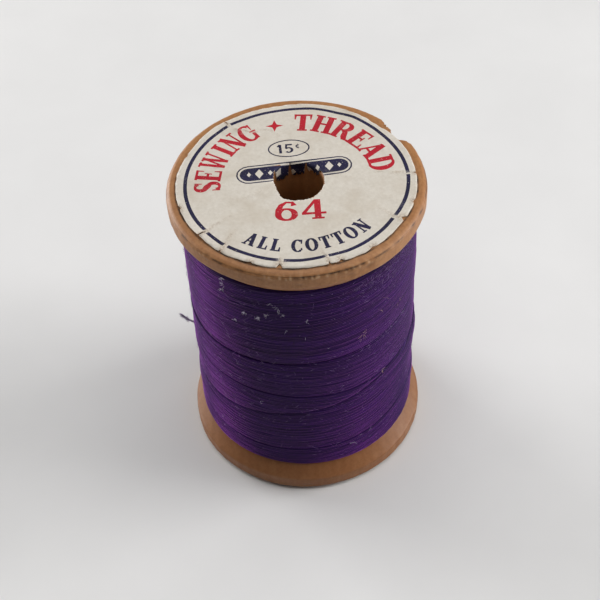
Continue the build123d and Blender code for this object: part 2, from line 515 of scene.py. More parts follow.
# Each letter's width and its strokes
LETTERS = {
    "A": (0.88, [stroke([(0.43, 1.0), (0.15, 0.03)], HAIR), stroke([(0.43, 1.0), (0.69, 0.03)], STEM),
                 arm(0.24, 0.58, 0.34), foot(0.14, 0, 0.14), foot(0.70, 0, 0.18)]),
    "C": (0.80, [bowl(*ROUND, 52, 308), beak(0.69, 0.98, 0.64), beak(0.69, 0.13, 0.32)]),
    "D": (0.86, [stem(0.22), foot(0.16, 0, 0.15), foot(0.16, 1, 0.15), arm(0.2, 0.4, TOP),
                 arm(0.2, 0.4, LOW), bowl((0.38, 0.5), (0.34, 0.463), 90, -90)]),
    "E": (0.76, [stem(0.22), arm(0.04, 0.66, TOP), arm(0.04, 0.68, LOW), arm(0.2, 0.5, 0.52),
                 beak(0.65, 1.0, 0.70), beak(0.68, 0.0, 0.30), stem(0.5, 0.66, 0.38, 0.06)]),
    "G": (0.86, [bowl(*ROUND, 52, 308), beak(0.69, 0.98, 0.64), stem(0.68, 0.05, 0.44, 0.17),
                 foot(0.68, 0.48, 0.16)]),
    "H": (0.90, [stem(0.22), stem(0.68), foot(0.22, 0), foot(0.22, 1), foot(0.68, 0), foot(0.68, 1),
                 arm(0.22, 0.68, 0.52)]),
    "I": (0.44, [stem(0.22), foot(0.22, 0), foot(0.22, 1)]),
    "L": (0.72, [stem(0.22), foot(0.22, 1), arm(0.04, 0.64, LOW), beak(0.65, 0.0, 0.34)]),
    "N": (0.90, [stem(0.19, width=0.09), stem(0.70, width=0.09), stroke([(0.16, 1.0), (0.69, 0.0)], STEM),
                 foot(0.14, 1, 0.13), foot(0.19, 0, 0.15), foot(0.70, 1, 0.15)]),
    "O": (0.86, [bowl(*ROUND, 0, 360, steps=30)]),
    "R": (0.88, [stem(0.22), foot(0.16, 1, 0.15), foot(0.22, 0), arm(0.2, 0.42, TOP), arm(0.2, 0.44, 0.5),
                 bowl((0.40, 0.73), (0.24, 0.232), 90, -90, thick=0.225),
                 stroke([(0.42, 0.52), (0.56, 0.42), (0.62, 0.2), (0.72, 0.03)], [0.12, 0.23, 0.25, 0.21]),
                 foot(0.76, 0, 0.10)]),
    "S": (0.68, [bowl((0.34, 0.735), (0.215, 0.228), 30, 235, thick=0.225),
                 stroke([(0.20, 0.60), (0.34, 0.515), (0.48, 0.42)], [0.22, 0.27, 0.22]),
                 bowl((0.34, 0.268), (0.225, 0.231), 50, -150, thick=0.225),
                 beak(0.56, 0.98, 0.70), beak(0.11, 0.02, 0.32)]),
    "T": (0.78, [stem(0.39), foot(0.39, 0, 0.2), arm(0.04, 0.74, TOP), beak(0.07, 1.0, 0.68),
                 beak(0.71, 1.0, 0.68)]),
    "W": (1.16, [stroke([(0.17, 1.0), (0.39, 0.0)], 0.17), stroke([(0.39, 0.0), (0.60, 0.95)], HAIR),
                 stroke([(0.55, 1.0), (0.77, 0.0)], 0.17), stroke([(0.77, 0.0), (0.99, 0.97)], HAIR),
                 foot(0.17, 1, 0.16), foot(0.55, 1, 0.14), foot(0.98, 1, 0.14)]),
    "1": (0.46, [stem(0.26, width=0.19), stroke([(0.26, 0.97), (0.06, 0.76)], [0.19, 0.1])]),
    "4": (0.86, [stem(0.55, width=0.21), arm(0.03, 0.82, 0.30, 0.11), foot(0.55, 0, 0.2),
                 stroke([(0.50, 0.98), (0.08, 0.30)], [0.10, 0.12])]),
    "5": (0.68, [arm(0.12, 0.58, 0.915, 0.17), stroke([(0.18, 0.98), (0.13, 0.5)], 0.14),
                 bowl((0.31, 0.31), (0.225, 0.26), 145, -145, 0.14, 0.19)]),
    "6": (0.84, [bowl((0.41, 0.315), (0.265, 0.27), 0, 360, 0.09, 0.21, 30),
                 stroke([(0.145, 0.33), (0.16, 0.55), (0.25, 0.78), (0.42, 0.93), (0.62, 0.90)],
                        [0.2, 0.2, 0.17, 0.1, 0.09]),
                 stroke([(0.62, 0.96), (0.66, 0.74)], [0.05, 0.2])]),
    "c": (0.40, [bowl((0.22, 0.66), (0.12, 0.16), 50, 310, 0.07, 0.1, 10), stem(0.22, 0.4, 0.93, 0.045)]),
    " ": (0.35, []),
}


def text_width(text, height, narrow):
    return sum(LETTERS[letter][0] * narrow * height for letter in text)


def letter_pieces(text, height, narrow, spacing, along=0.0):
    """Each pen piece of a text at its real size, with where its letter starts and how wide it is."""
    for letter in text:
        width = LETTERS[letter][0] * narrow * height
        for part in LETTERS[letter][1]:
            for quad in part:
                yield quad * [narrow * height, height], along, width
        along += width + spacing


def word_on_arc(text, height, foot_r, start, end, narrow=1.0, inward=False):
    """Letters stood on an arc from one angle to the other. Tops point away from the
    centre, or towards it where inward is set."""
    turn = 1 if inward else -1
    middle_r = foot_r - turn * height / 2
    length = abs(math.radians(end - start)) * middle_r
    spacing = (length - text_width(text, height, narrow)) / max(len(text) - 1, 1)
    out = []
    for quad, along, width in letter_pieces(text, height, narrow, spacing):
        angle = math.radians(start) + turn * (along + width / 2) / middle_r
        out_way = np.array([math.cos(angle), math.sin(angle)])
        up = -turn * out_way
        right = np.array([up[1], -up[0]])
        quad = quad - [width / 2, 0]
        out.append(out_way * foot_r + quad[:, :1] * right + quad[:, 1:] * up)
    return out


def word_on_line(text, height, centre, degrees=0.0, narrow=1.0, spacing=0.0):
    start = -(text_width(text, height, narrow) + spacing * (len(text) - 1)) / 2
    return [turned(quad + [along, -height / 2], degrees, centre)
            for quad, along, _ in letter_pieces(text, height, narrow, spacing, start)]


# ---------------------------------------------------------------- paper labels

RING_R, RING_W = 12.84, 0.44
FOLD_R = 3.395              # the paper starts to fold into the bore here
FOLD_BEND = 0.3             # radius of that fold
SHEET_PITCH = 0.36          # between the sheet's own points
PAPER_T = 0.08
# Edge of the hole torn in the paper: angle and radius. On the left it hangs over the bore.
HOLE_EDGE = [(10, 3.22), (24, 3.28), (144, 3.12), (156, 2.83), (176, 2.63), (203, 2.56), (218, 2.8),
             (230, 3.05), (243, 3.4), (262, 3.44), (300, 3.5), (320, 3.42), (340, 3.35)]
# Outer edge of the paper, narrower at the back: angle and radius
PAPER_EDGE = [(0, 13.85), (12, 13.8), (22, 13.78), (27, 13.72), (32, 13.68), (36, 13.6), (39, 13.5),
              (44, 13.47), (50, 13.66), (66, 13.8), (80, 13.8), (96, 13.62), (114, 13.72), (126, 13.7),
              (134, 13.88), (150, 13.72), (162, 13.78), (172, 13.93), (204, 13.92), (228, 14.0),
              (252, 14.08), (300, 14.1), (324, 13.92), (342, 14.0)]
# How far the printed ring wanders: angle and shift
RING_WANDER = [(0, 0.09), (24, -0.04), (36, -0.1), (48, 0.04), (56, 0.15), (66, 0.0), (78, 0.13),
               (88, 0.0), (102, -0.11), (126, 0.02), (160, -0.02), (222, 0.01), (246, 0.07), (270, 0.09),
               (282, -0.08), (294, 0.06), (318, -0.07), (324, -0.12), (342, 0.03)]
# Tongues of paper in the bore, wider than the CAD's flaps: middle, width, depth
TONGUES = [(47, 38, 0.9), (85, 34, 1.8), (122, 38, 2.0)]
# Tears in the outer edge: angle, depth, half width, both in millimetres
TEARS = [(217, 1.15, 0.09), (260.5, 0.62, 0.36), (283, 0.5, 0.09), (288.5, 0.3, 0.32),
         (328.5, 0.42, 0.42), (127, 0.8, 0.07), (196, 0.08, 0.3), (231, 0.22, 0.15), (0.5, 0.25, 0.10),
         (341, 0.15, 0.4), (196, 0.12, 0.5), (60, 0.1, 0.5), (158, 0.12, 0.4), (305, 0.13, 0.5),
         (247, 0.12, 0.3), (88, 0.08, 0.5)]
# Breaks in the printed ring: angle and width in degrees
RING_BREAKS = [(127, 1.1), (217, 1.1), (231, 1.3), (261, 1.6), (283.5, 1.3), (0.5, 0.8), (327, 1.8),
               (24, 0.5)]
# Creases: points from the edge inward, height and half width in millimetres
CREASES = [([(-11.2, -8.4), (-9.5, -6.9), (-7.4, -5.2)], 0.16, 0.16),
           ([(-8.7, -10.9), (-7.6, -8.7), (-6.9, -7.7)], 0.09, 0.2),
           ([(13.9, 0.2), (11.6, 0.5), (9.4, 0.7), (8.3, 1.4)], 0.10, 0.13),
           ([(11.9, -7.5), (10.2, -6.3), (8.9, -5.2)], 0.08, 0.22),
           ([(-8.3, 11.1), (-7.2, 9.7), (-5.9, 8.6)], 0.10, 0.13),
           ([(-7.2, 9.7), (-4.9, 8.9), (-3.0, 9.3), (-1.7, 8.0)], 0.08, 0.16),
           ([(3.1, -13.4), (2.7, -12.1), (2.1, -11.3)], 0.09, 0.2),
           ([(-2.3, -13.6), (-2.2, -12.6), (-1.7, -11.7)], 0.12, 0.22),
           ([(12.2, -5.6), (10.9, -3.9), (8.4, -2.9), (6.2, -1.6)], 0.05, 0.4),
           ([(3.4, 1.3), (5.4, 0.2), (7.6, -0.4), (8.8, -1.6)], 0.05, 0.3),
           ([(-3.6, -1.2), (-6.2, -2.8), (-9.8, -2.6)], 0.05, 0.45),
           ([(-12.8, 1.2), (-10.4, -0.8), (-7.7, -0.2)], 0.05, 0.35),
           ([(6.9, 7.9), (5.1, 9.9), (1.7, 11.3)], 0.04, 0.4)]


def round_curve(points):
    """Value round the spool that runs straight between (angle, value) points."""
    angle, value = np.array(points, float).T
    return lambda degrees: np.interp(degrees, angle, value, period=360)


def along_line(x, y, points):
    """Distance from a broken line, and how far along it the nearest place is, 0 to 1."""
    best, share = np.full(np.shape(x), 1e9), np.zeros(np.shape(x))
    for i, ((ax, ay), (bx, by)) in enumerate(zip(points, points[1:])):
        dx, dy = bx - ax, by - ay
        t = np.clip(((x - ax) * dx + (y - ay) * dy) / (dx * dx + dy * dy), 0, 1)
        away = np.hypot(x - ax - t * dx, y - ay - t * dy)
        nearer = away < best
        best, share = np.where(nearer, away, best), np.where(nearer, (i + t) / (len(points) - 1), share)
    return best, share


def round_place(x, y):
    """Radius and angle of points."""
    return np.hypot(x, y), np.degrees(np.arctan2(y, x)) % 360


def paper_height(x, y):
    """How far the creased sheet stands above its flat place, in millimetres."""
    radius, degrees = round_place(x, y)
    rise = 0.012 * flat_ripple(21, x, y, 2.5, 9.0) + 0.004 * flat_ripple(22, x, y, 0.5, 1.5)
    for points, height, half in CREASES:
        away, share = along_line(x, y, points)
        fade = np.clip(1.15 - share, 0, 1) * smooth_step(-0.1, 0.15, share + 0.05)
        rise = rise + height * fade * np.exp(-(away / half) ** 1.3)
    for at, deep, half in TEARS:
        away, reach = arc_from(at, degrees, LABEL_R), 0.5 + deep
        lift = 0.10 if half < 0.2 else 0.05
        rise = rise + lift * np.exp(-(away / (1.3 * reach)) ** 2) * smooth_step(
            LABEL_R - 1.6 * reach, LABEL_R, radius)
    edge = smooth_step(LABEL_R - 1.2, LABEL_R, radius)
    curl = 0.03 + 0.09 * smooth_step(180, 200, degrees) * smooth_step(262, 245, degrees)
    return rise + curl * edge * (1 + ripple(23, degrees, 0, 14, terms=12)) * 0.5


def paper_wear(x, y):
    """0 to 1 along the worn and dirty lines of the creases and tears."""
    radius, degrees = round_place(x, y)
    wear = np.zeros(np.shape(x))
    for points, height, half in CREASES:
        away, share = along_line(x, y, points)
        worn = min(1, height / 0.1) if height > 0.06 else 0.1
        line = worn * np.clip(1.2 - share, 0, 1) * np.exp(-(away / (0.7 * half)) ** 2)
        wear = np.maximum(wear, line)
    for at, deep, half in TEARS:
        line = np.exp(-(arc_from(at, degrees, LABEL_R) / (half + 0.14)) ** 2)
        line = line * smooth_step(LABEL_R - 0.6 - 1.3 * deep, LABEL_R - deep, radius)
        wear = np.maximum(wear, 0.9 * line)
    return wear


def in_space(flat, base, pressed):
    """Place flat points of the sheet on the flange, folding what hangs over the bore. A
    pressed sheet has the spool standing on it, so no crease rises out of it."""
    radius, degrees = round_place(*flat.T)
    left_over = smooth_step(140, 150, degrees) * smooth_step(243, 228, degrees)
    over = np.clip(FOLD_R - 0.85 * left_over - radius, 0, None)
    quarter = FOLD_BEND * math.pi / 2
    bend = np.minimum(over, quarter) / FOLD_BEND
    new_r = np.where(over > 0, radius + over - FOLD_BEND * np.sin(bend), radius)
    drop = FOLD_BEND * (1 - np.cos(bend)) + np.clip(over - quarter, 0, None)
    # a folded tongue grows narrower with the wall that it lies on
    middles = np.array([tongue[0] for tongue in TONGUES])
    gaps = turn_from(middles[None, :], degrees[:, None])
    nearest = np.argmin(np.abs(gaps), 1)
    gap = gaps[np.arange(len(gaps)), nearest]
    narrower = 1 - 0.25 * (1 - radius / np.maximum(new_r, 0.1))
    degrees = np.where((over > 0.3) & (np.abs(gap) < 20), middles[nearest] + gap * narrower, degrees)
    # torn ends stand a little away from the bore's wall
    new_r = new_r - 0.06 * smooth_step(0.8, 2.0, over)
    rise = paper_height(*flat.T)
    if pressed:
        rise = np.clip(rise - 0.03, -PAPER_T, 0)
    return np.column_stack([*polar(new_r, degrees), base - drop + rise * (over <= 0)])


def edge_line():
    near_tears = [(at + np.linspace(-1.4, 1.4, 9) * math.degrees(half / LABEL_R)) % 360
                  for at, _, half in TEARS]
    angles = np.unique(np.concatenate([np.arange(0, 360, 0.6)] + near_tears).round(4))
    radius = round_curve(PAPER_EDGE)(angles) + 0.016 * ripple(31, angles, 0, 70, terms=20)
    for at, deep, half in TEARS:
        away = np.abs(arc_from(at, angles, LABEL_R))
        radius = radius - deep * np.clip(1 - away / half, 0, 1) ** 0.8
    return np.column_stack(polar(radius, angles))


def hole_line():
    angles = np.arange(0, 360, 1.0)
    radius = round_curve(HOLE_EDGE)(angles) + 0.035 * ripple(32, angles, 0, 60, terms=16)
    for middle, width, depth in TONGUES:
        away = np.abs(angles - middle) / (width / 2)
        tip = FOLD_R - depth - 0.171 + 0.13 * ripple(33, angles, 0, 60, terms=12)
        radius = radius + (tip - radius) * smooth_step(0, 0.14, 1 - away)
    return np.column_stack(polar(radius, angles))


def ring_print():
    out, wander = [], round_curve(RING_WANDER)
    for low in np.arange(0, 360, 1.0):
        middle, high = low + 0.5, low + 1.0
        if any(abs(turn_from(angle, middle)) < width / 2 for angle, width in RING_BREAKS):
            continue
        shift = wander(middle) + (0.07 if 217 < middle < 231 else 0)
        inner, outer = RING_R + shift - RING_W / 2, RING_R + shift + RING_W / 2
        out.append(np.array([polar(inner, low), polar(outer, low), polar(outer, high), polar(inner, high)]))
    return out


def oval_print(centre, half_x, half_y, width, degrees):
    angle = np.radians(np.arange(0, 361, 10))
    points = np.column_stack([half_x * np.cos(angle), half_y * np.sin(angle)])
    return stroke(turned(points, degrees, centre), width)


BAND_CENTRE, BAND_TILT = (-0.16, 1.78), 5.2
# Diamonds along the band: place and half height
DIAMONDS = [(-5.3, 0.4), (-4.1, 0.8), (-2.8, 0.45), (-1.5, 0.8), (-0.1, 0.45), (1.3, 0.8), (2.7, 0.45),
            (4.1, 0.8), (5.3, 0.4)]


def band_shape(half_length, half_height):
    """Bar with round ends, as one outline."""
    straight = half_length - half_height
    right = [(straight + half_height * math.sin(a), half_height * -math.cos(a))
             for a in np.linspace(0, math.pi, 9)]
    return [turned(right + [(-x, -y) for x, y in right], BAND_TILT, BAND_CENTRE)]


def diamond(centre, half_x, half_y):
    return np.array([(centre[0] + half_x, centre[1]), (centre[0], centre[1] + half_y),
                     (centre[0] - half_x, centre[1]), (centre[0], centre[1] - half_y)])


def top_print():
    """Shapes of each ink, the later ones over the earlier ones: (ink, shapes)."""
    star = polar(10.1, 103)
    marks = [diamond(turned([(along, 0)], BAND_TILT, BAND_CENTRE)[0], 0.62 * size, size)
             for along, size in DIAMONDS]
    layers = [("navy", ring_print()),
              ("red", word_on_arc("SEWING", 3.05, 8.74, 187, 116, 0.84)),
              ("red", word_on_arc("THREAD", 3.05, 8.74, 90, 5, 0.97)),
              ("red", [diamond(star, 0.36, 1.05), diamond(star, 1.05, 0.36)]),
              ("navy", oval_print((-0.68, 5.62), 2.4, 1.46, 0.17, 3)),
              ("navy", word_on_line("15c", 1.55, (-0.7, 5.6), 4, 1.1, 0.12)),
              ("navy", band_shape(6.8, 1.52)), ("paper", band_shape(6.62, 1.34)),
              ("navy", band_shape(6.38, 1.09)), ("paper", marks),
              ("red", word_on_line("64", 3.2, (0.3, -5.03), 1, 1.1, 0.1))]
    for turn in (-0.18, 0.18):      # the lower line is printed bolder
        layers.append(("navy", word_on_arc("ALL COTTON", 1.92, 11.65, 236.5 + turn, 315 + turn, 0.82, True)))
    return layers


def bottom_print():
    return [("navy", ring_print()), ("red", word_on_arc("SEWING THREAD", 2.2, 9.4, 172, 8)),
            ("navy", word_on_line("115", 2.6, (0, -6.6), 0, 1.1, 0.25))]


def paper_finish(name, ink=None, deep=None):
    """Bare paper, or paper under an ink of two close shades."""
    paper = Finish(name, Specular_IOR_Level=0.3, Sheen_Weight=0.05)
    place, wear = paper.place(), paper.field("wear")
    pulp = paper.noise(place, 2600, 5, 0.6)
    stain = paper.noise(place, 240, 4, 0.55, 0.3)
    speck = paper.noise(place, 5200, 2, 0.5)
    sheet = paper.steps(pulp, (0.3, srgb(206, 198, 185)), (0.7, srgb(218, 211, 200)))
    sheet = paper.tint(sheet, srgb(190, 177, 158), 0.5, stain, 0.48, 0.72)
    if ink is None:
        dirty = paper.mix(paper.span(speck, 0.4, 0.62), srgb(132, 98, 70), srgb(206, 192, 172))
        colour = paper.mix(paper.sum("MULTIPLY", wear, 0.75), sheet, dirty)
    else:
        missing = paper.sum("ADD", paper.span(speck, 0.66, 0.74, 0.0, 0.6),
                            paper.sum("MULTIPLY", wear, paper.span(speck, 0.38, 0.5)), clamp=True)
        colour = paper.mix(missing, paper.mix(paper.span(stain, 0.35, 0.7), ink, deep), sheet)
    return paper.done(colour, paper.span(pulp, 0.3, 0.7, 0.55, 0.72), (pulp, 0.015), (speck, 0.008))


def cut_sheet(layers):
    """The flat sheet as triangles cut along every edge of its print: its points, the triangles
    and the ink of each."""
    shapes = [("sheet", edge_line()), ("hole", hole_line())]
    shapes += [(ink, shape) for ink, ink_shapes in layers for shape in ink_shapes]
    points, outlines = [], []
    for _, shape in shapes:
        outlines.append(list(range(len(points), len(points) + len(shape))))
        points.extend(map(tuple, shape))
    rng = np.random.default_rng(41)
    for row, y in enumerate(np.arange(-LABEL_R, LABEL_R, SHEET_PITCH * 0.87)):
        for x in np.arange(-LABEL_R, LABEL_R, SHEET_PITCH):
            spot = (x + SHEET_PITCH * 0.5 * (row % 2), y) + rng.uniform(-0.06, 0.06, 2)
            if 0.9 < math.hypot(*spot) < LABEL_R - 0.08:
                points.append(tuple(spot))
    flat, _, triangles, _, _, origins = delaunay_2d_cdt([Vector(p) for p in points], [], outlines, 1, 1e-5,
                                                        True)
    kept = [(triangle, shapes[max(origin)][0] if max(origin) > 1 else "paper")
            for triangle, origin in zip(triangles, origins) if 0 in origin and 1 not in origin]
    used, corners = np.unique(np.array([triangle for triangle, _ in kept]), return_inverse=True)
    return np.array([tuple(v) for v in flat])[used], corners.reshape(-1, 3), [ink for _, ink in kept]


def make_label(name, layers, finishes, base, pressed, node):
    """A printed sheet, one paper thickness deep at its cut edge."""
    inks = list(finishes)
    flat, triangles, ink_of = cut_sheet(layers)
    sides = dict.fromkeys((a, b) for triangle in triangles for a, b in zip(triangle, np.roll(triangle, -1)))
    rim = [(a, b) for a, b in sides if (b, a) not in sides]
    top = in_space(flat, base, pressed)
    along_x, along_y = (in_space(flat + way, base, pressed) - top for way in ([0.01, 0], [0, 0.01]))
    normal = np.cross(along_x, along_y)
    normal /= np.maximum(np.linalg.norm(normal, axis=1), 1e-12)[:, None]
    rim_points = sorted({a for side in rim for a in side})
    lower = {a: len(top) + i for i, a in enumerate(rim_points)}
    solid = np.vstack([top, top[rim_points] - normal[rim_points] * PAPER_T])
    skirt = [(b, a, lower[a], lower[b]) for a, b in rim]
    indices = [inks.index(ink) for ink in ink_of + ["paper"] * len(skirt)]
    if pressed:
        solid = solid * [1, -1, -1]
    piece = new_mesh(name, solid, [tuple(t) for t in triangles] + skirt, list(finishes.values()), indices)
    wear = paper_wear(*np.vstack([flat, flat[rim_points]]).T)
    # the cut edge takes the dirty colour: worn paper, plus painted shade of the thin dark line at the edge
    wear[len(top):] = 0.7
    point_values(piece, "wear", wear)
    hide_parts(node)
    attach(piece, "root")


def make_labels():
    finishes = {"paper": paper_finish("label_paper"),
                "red": paper_finish("label_red", srgb(184, 18, 40), srgb(166, 11, 33)),
                "navy": paper_finish("label_navy", srgb(29, 25, 64), srgb(21, 18, 48))}
    make_label("top_label_paper", top_print(), finishes, HEIGHT, False, "top_label")
    make_label("bottom_label_paper", bottom_print(), finishes, 0.0, True, "bottom_label")


# ---------------------------------------------------------------- wound thread

PITCH = 0.262                # from one turn of thread to the next
STRAND_R = 0.31              # curve of a strand's outer side, which is pressed flat
STRAND_SIDES, STRAND_ARC = 8, 115.0     # only the outer side of a strand is made
STRAND_STEP = 1.5            # degrees between its rows of points
STRAND_WRAP = 977.0          # lengths along the thread start again here, to stay exact
LAYER_R = PACKAGE_R - 0.145  # centre line of the last layer's strands
SEAM = 90.0                  # angle at which each turn hands over to the next
LOW_EDGE = WOOD_LOW + cone_depth(PACKAGE_R)     # where the package meets the bottom flange
HIGH_EDGE = HEIGHT - LOW_EDGE
# Waves along a strand: its drift, its wobble, how proud it lies, where it lies alone, its tone,
# each as how many degrees make one, how many waves and how many terms
STRAND_WAVES = [(1, 5, 10), (7.3, 90, 20), (3.1, 60, 20), (2.3, 25, 14), (5.7, 40, 16)]
# Slips between the bands of the last layer: angle and height along each, closed round the spool
SLIP_1 = [(20, 25.3), (70, 24.6), (120, 23.7), (160, 23.2), (193, 23.1), (245, 23.8), (270, 24.15),
          (300, 24.6), (334, 25.25)]
SLIP_2 = [(40, 18.6), (110, 18.5), (160, 18.0), (192, 17.75), (230, 18.05), (270, 17.9), (295, 17.75),
          (329, 18.25)]
SLIP_3 = [(0, 17.4), (45, 13.5), (90, 10.9), (130, 10.5), (180, 11.2), (204, 12.15), (240, 13.6),
          (262, 14.6), (280, 15.4), (290, 16.0), (305, 17.0), (315, 17.75), (324, 18.1), (339, 18.2)]
SLIP_4 = [(20, 10.1), (60, 9.6), (110, 8.4), (160, 7.5), (203, 7.1), (240, 7.1), (275, 7.45),
          (300, 7.9), (320, 8.75), (339, 9.7)]
MERGE_FROM, MERGE_TO = 311, 352     # between these angles the second and third slips are one
# Where the package is fuller or slacker: angle, half its width, height, half its height, rise
BULGES = [(185, 62, 27.0, 7.5, -0.2), (182, 40, 13.6, 2.2, -0.17), (355, 36, 17.4, 0.9, 0.33),
          (355, 36, 15.3, 0.7, 0.12), (355, 30, 12.4, 1.5, -0.12), (355, 36, 8.9, 1.1, 0.14)]
# Turns that lie on the last layer and cross it: angles and heights, and how far they stand out
CROSSINGS = [([(150, 22.75), (180, 22.75), (210, 23.1), (245, 23.6), (270, 23.9), (300, 24.4),
               (335, 25.05), (370, 25.2), (390, 25.0)], 0.16),
             ([(203, 11.85), (240, 13.3), (262, 14.35), (280, 15.2), (290, 15.75), (305, 16.7),
               (318, 17.4), (330, 17.6)], 0.14),
             ([(258, 17.6), (270, 17.5), (283, 17.3), (295, 17.2), (306, 17.3), (316, 17.65),
               (326, 18.0)], 0.12)]


def fullness(degrees, height):
    total = np.zeros(len(degrees))
    for at, half_turn, high, half_height, rise in BULGES:
        away = turn_from(at, degrees) / half_turn
        total += rise * np.exp(-away ** 4 - ((height - high) / half_height) ** 4)
    return total


def ring_curve(points):
    """Smooth closed height round the spool through (angle, height) points."""
    angle, height = np.array(points, float).T
    angle = np.concatenate([angle[-2:] - 360, angle, angle[:3] + 360])
    height = np.concatenate([height[-2:], height, height[:3]])
    slope = np.zeros(len(angle))
    slope[1:-1] = (height[2:] - height[:-2]) / (angle[2:] - angle[:-2])

    def at(degrees):
        degrees = np.mod(degrees, 360)
        i = np.clip(np.searchsorted(angle, degrees, "right") - 1, 1, len(angle) - 3)
        span = angle[i + 1] - angle[i]
        t = (degrees - angle[i]) / span
        return ((2 * t ** 3 - 3 * t ** 2 + 1) * height[i] + (t ** 3 - 2 * t ** 2 + t) * span * slope[i]
                + (3 * t ** 2 - 2 * t ** 3) * height[i + 1] + (t ** 3 - t ** 2) * span * slope[i + 1])
    return at


def make_band(name, guide, limit, way, count, finish, seed, swell=0.08, lean=1.0, gap=0.08, sink=0.28):
    """One band of the last layer. Its turns follow the guide curve, stacked upwards (way 1) or
    downwards (way -1), and dive under the next band where they reach the limit curve. The band
    swells outward by swell in its middle, or nearer the guide where lean is under 1. Gap is
    half the space left along the guide, and sink is how deep the turns dive."""
    degrees = SEAM + np.arange(0, 360 + STRAND_STEP / 2, STRAND_STEP)
    out = np.column_stack([*polar(1.0, degrees), np.zeros(len(degrees))])
    up = np.tile([0, 0, 1.0], (len(degrees), 1))
    columns = STRAND_SIDES + 1
    around = np.radians(np.linspace(-STRAND_ARC, STRAND_ARC, columns))
    from_guide, to_limit = guide(degrees), limit(degrees)
    width = np.maximum(np.abs(to_limit - from_guide), 0.3)
    band, shade = Shell(), []
    for turn in range(count):
        turns_done = turn + (degrees - SEAM) / 360
        drift, wobble, proud, lone, tone = (
            ripple(seed + i, turns_done * 360 / each, 0, waves, terms=terms)
            for i, (each, waves, terms) in enumerate(STRAND_WAVES))
        height = from_guide + way * (gap + PITCH * (turns_done + 0.35)) + (
            0.035 * drift + 0.006 * wobble) * min(1, turn / 2)
        left = way * (to_limit - height)
        sunk = 0.04 * smooth_step(1.5, 2.2, lone) - 0.02 * smooth_step(1.5, 2.2, -lone)
        share = np.clip(way * (height - from_guide) / width, 0, 1)
        crown = swell * np.sin(math.pi * share ** lean) * smooth_step(0.3, 2.5, width)
        dive = sink * smooth_step(0.4, -0.12, left)
        radius = LAYER_R + crown + fullness(degrees, height) + 0.008 * proud - sunk - dive
        centre = out * radius[:, None] + up * height[:, None]
        rows = ring_rows(centre, out, up, STRAND_R, around).reshape(-1, 3)
        visible = left > -0.25
        faces = [(a, a + columns, a + columns + 1, a + 1) for row in range(len(degrees) - 1)
                 if visible[row] or visible[row + 1]
                 for a in range(row * columns, row * columns + STRAND_SIDES)]
        length = np.radians(degrees - SEAM) * LAYER_R + turn * math.tau * LAYER_R
        values = np.broadcast_arrays((length % STRAND_WRAP)[:, None], around / math.pi,
                                     (0.5 + 0.12 * tone)[:, None])
        band.add(rows, faces, np.stack(values, -1).reshape(-1, 3))
        depth = ((sunk + dive) / 0.55)[:, None] + 0.08 * (np.abs(around) > 1.2)
        shade.extend(np.clip(depth, 0, 1).ravel())
    piece = new_mesh(name, band.points, band.faces, [finish])
    point_values(piece, "strand", band.strand)
    point_values(piece, "shade", shade)
    work = bmesh.new()
    work.from_mesh(piece.data)
    bmesh.ops.delete(work, geom=[v for v in work.verts if not v.link_faces], context="VERTS")
    work.to_mesh(piece.data)
    work.free()
    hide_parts("thread_outer_layer")
    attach(piece, "root")


def thread_finish():
    thread = Finish("purple_thread", Specular_IOR_Level=0.1, Sheen_Weight=0.85, Sheen_Roughness=0.28,
                    Sheen_Tint=(0.76, 0.14, 1.0, 1))
    place = thread.place()
    parts = thread.add("SeparateXYZ", {"Vector": thread.field("strand", "Vector")})
    along, around, tone = (parts.node.outputs[i] for i in range(3))
    # three plies laid round each other: slanted lines along the strand
    slant = thread.sum("ADD", thread.sum("MULTIPLY", along, 2.9), thread.sum("MULTIPLY", around, 1.6))
    ply = thread.sum("SINE", thread.sum("MULTIPLY", slant, math.tau))
    fluff = thread.noise(thread.scaled(place, (2600, 2600, 5200)), 1, 4, 0.6)
    patch = thread.noise(place, 210, 3, 0.5)
    mixed = thread.sum("ADD", thread.sum("MULTIPLY", tone, 0.45), thread.sum("MULTIPLY", fluff, 0.55))
    base = thread.steps(mixed, (0.3, srgb(28, 10, 47)), (0.5, srgb(39, 15, 67)), (0.7, srgb(57, 23, 95)))
    # painted shade in the hollows between the plies
    base = thread.mix(thread.span(ply, -1, -0.3, 0.3, 0.0), base, srgb(27, 11, 50))
    base = thread.tint(base, srgb(40, 17, 72), 0.3, patch, 0.4, 0.75)
    # painted light: the loose end's tip is near white on purple thread, so that the thin, shaded end looks
    # bright
    base = thread.mix(thread.field("painted_light_end"), base, srgb(222, 214, 226))
    base = thread.mix(thread.field("shade"), base, srgb(20, 9, 36))
    return thread.done(base, thread.span(fluff, 0.3, 0.7, 0.42, 0.62), (ply, 0.012), (fluff, 0.035))


def make_package(finish):
    slip_1, slip_2, slip_3, slip_4 = map(ring_curve, (SLIP_1, SLIP_2, SLIP_3, SLIP_4))

    def level(height):
        return lambda degrees: np.full(np.shape(degrees), height)

    def merged(degrees):
        inside = smooth_step(MERGE_FROM, MERGE_FROM + 8, degrees)
        inside = inside * smooth_step(MERGE_TO, MERGE_TO - 8, degrees)
        return slip_3(degrees) + (slip_2(degrees) + 0.12 - slip_3(degrees)) * inside

    make_band("thread_band_top", slip_1, level(HIGH_EDGE - 0.05), 1, 51, finish, 101, swell=0.14, lean=0.6)
    make_band("thread_band_upper", slip_2, slip_1, 1, 29, finish, 202, gap=0.06)
    make_band("thread_band_middle", slip_2, slip_3, -1, 35, finish, 303, swell=0.05, gap=0.06, sink=0.14)
    make_band("thread_band_lower", slip_4, merged, 1, 39, finish, 404, gap=0.045, sink=0.14)
    make_band("thread_band_bottom", slip_4, level(LOW_EDGE + 0.05), -1, 27, finish, 505, swell=0.05,
              gap=0.045)


PLIES, PLY_SIDES, PLY_R = 3, 6, THREAD_D / 4
TWIST = 0.85                 # length of one turn of the plies
